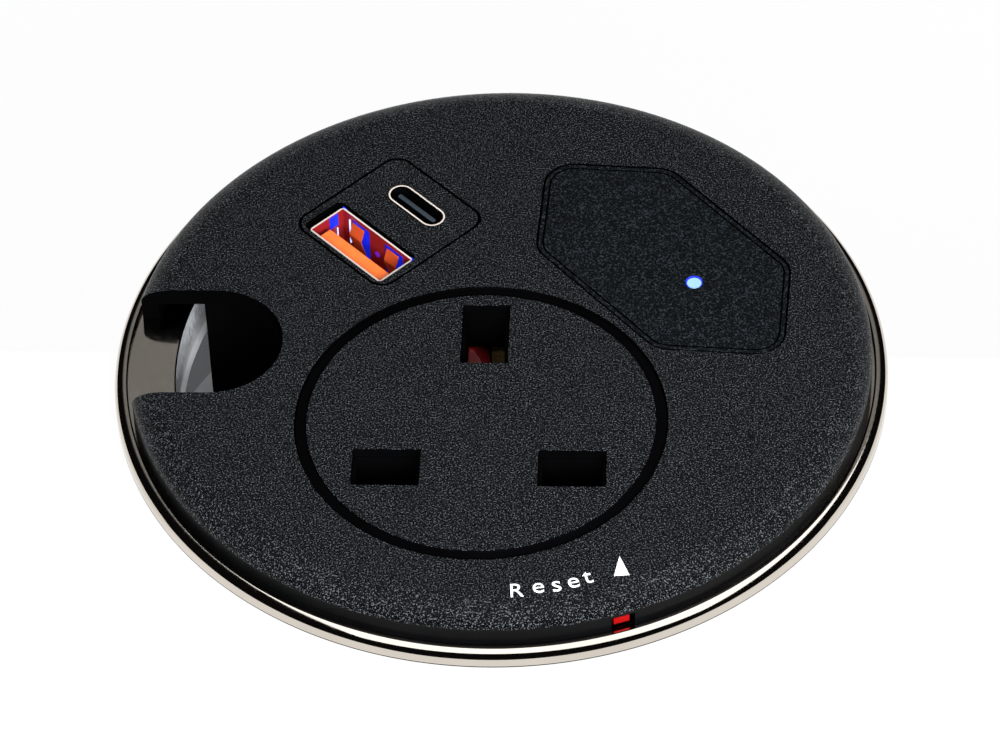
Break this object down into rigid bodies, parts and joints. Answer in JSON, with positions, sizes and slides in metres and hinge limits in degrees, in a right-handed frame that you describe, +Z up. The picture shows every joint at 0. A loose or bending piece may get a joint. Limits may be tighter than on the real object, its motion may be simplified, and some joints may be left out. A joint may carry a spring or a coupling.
{
  "type": "in-desk power module",
  "caption": "Round in-desk power module: a three-pin socket, USB charging ports, a cable passage and a reset tab in a metal desk ring, clamped from below.",
  "frame": {"origin": "middle of the desk hole, on the desk's top face, where the ring's flange rests", "axes": "+Z up out of the desk; -Y towards the user; +X to the right, with the cable passage on -X"},
  "size_m": [0.0948, 0.0948, 0.0669],
  "materials": {
    "polished_metal": "mirror polished",
    "gasket_rubber": "smooth",
    "grained_black": "spark eroded grain",
    "fine_black": "fine satin grain",
    "housing_black": "satin",
    "inlet_black": "glossy",
    "carrier_white": "satin",
    "shutter_red": "satin",
    "reset_red": "satin",
    "brass": "bright rolled",
    "nickel": "bright plated",
    "orange_tongue": "satin",
    "dark_tongue": "satin",
    "gold_plate": "bright plated",
    "case_black": "satin",
    "board_green": "lacquered",
    "coil_tape": "satin tape",
    "can_sleeve": "shrunk sleeve",
    "ferrite": "matt",
    "lens_clear": "clear",
    "led_blue": "clear",
    "spring_steel": "bright wire",
    "zinc": "zinc plated",
    "lead_brown": "satin",
    "lead_blue": "satin",
    "lead_green": "satin, yellow stripe",
    "lead_black": "satin"
  },
  "bodies": {
    "module": {"desk_ring": "polished_metal", "ring_gasket": "gasket_rubber", "top_cap": "grained_black", "housing": "housing_black", "base_cover": "housing_black", "inlet_body": "inlet_black", "inlet_pins": "nickel", "socket_insert": "grained_black", "socket_carrier": "carrier_white", "live_contact": "brass", "neutral_contact": "brass", "earth_contact": "brass", "shutter_spring": "spring_steel", "usb_insert": "grained_black", "usb_a_shell": "nickel", "usb_a_tongue": "orange_tongue", "usb_a_contacts": "gold_plate", "usb_c_shell": "nickel", "usb_c_tongue": "dark_tongue", "usb_case": "case_black", "usb_pcb": "board_green", "usb_transformer": "coil_tape", "usb_capacitors": "can_sleeve", "usb_inductor": "ferrite", "indicator_panel": "fine_black", "light_pipe": "lens_clear", "led_board": "board_green", "led": "led_blue", "reset_spring": "spring_steel", "breaker_case": "case_black", "breaker_terminals": "brass", "live_feed_lead": "lead_brown", "live_lead": "lead_brown", "neutral_lead": "lead_blue", "earth_lead": "lead_green", "usb_supply_leads": "lead_black", "led_lead": "lead_black", "cap_screws": "zinc", "carrier_screws": "zinc", "usb_screws": "zinc", "led_screws": "zinc", "breaker_screws": "zinc", "cover_screws": "zinc", "inlet_screws": "zinc"},
    "shutter_body": {"shutter": "shutter_red"},
    "reset_body": {"reset_slider": "reset_red"},
    "plunger_body": {"breaker_plunger": "carrier_white"},
    "washer_body": {"clamp_washer": "zinc"},
    "nut_body": {"clamp_nut": "housing_black"}
  },
  "joints": [
    {"name": "shutter_slide", "type": "slide", "parent": "module", "child": "shutter_body", "axis": [0, 1, 0], "range_m": [0, 0.006], "stiffness_N_per_m": 150, "springref_m": -0.004, "deforming": ["shutter_spring"]},
    {"name": "reset_slide", "type": "slide", "parent": "module", "child": "reset_body", "axis": [-0.3437, 0.9391, 0], "range_m": [0, 0.0018], "stiffness_N_per_m": 600, "springref_m": -0.002, "deforming": ["reset_spring"]},
    {"name": "plunger_slide", "type": "slide", "parent": "module", "child": "plunger_body", "axis": [-0.3437, 0.9391, 0], "range_m": [0, 0.0018]},
    {"name": "clamp_slide", "type": "slide", "parent": "module", "child": "washer_body", "axis": [0, 0, 1], "range_m": [-0.01, 0.01]},
    {"name": "nut_turn", "type": "hinge", "parent": "washer_body", "child": "nut_body", "pos_m": [0, 0, -0.03], "axis": [0, 0, 1], "range_deg": [-720, 720]}
  ],
  "couplings": [
    {"joint": "plunger_slide", "follows": "reset_slide", "ratio": 1},
    {"joint": "clamp_slide", "follows": "nut_turn", "m_per_rad": 0.00079577}
  ]
}
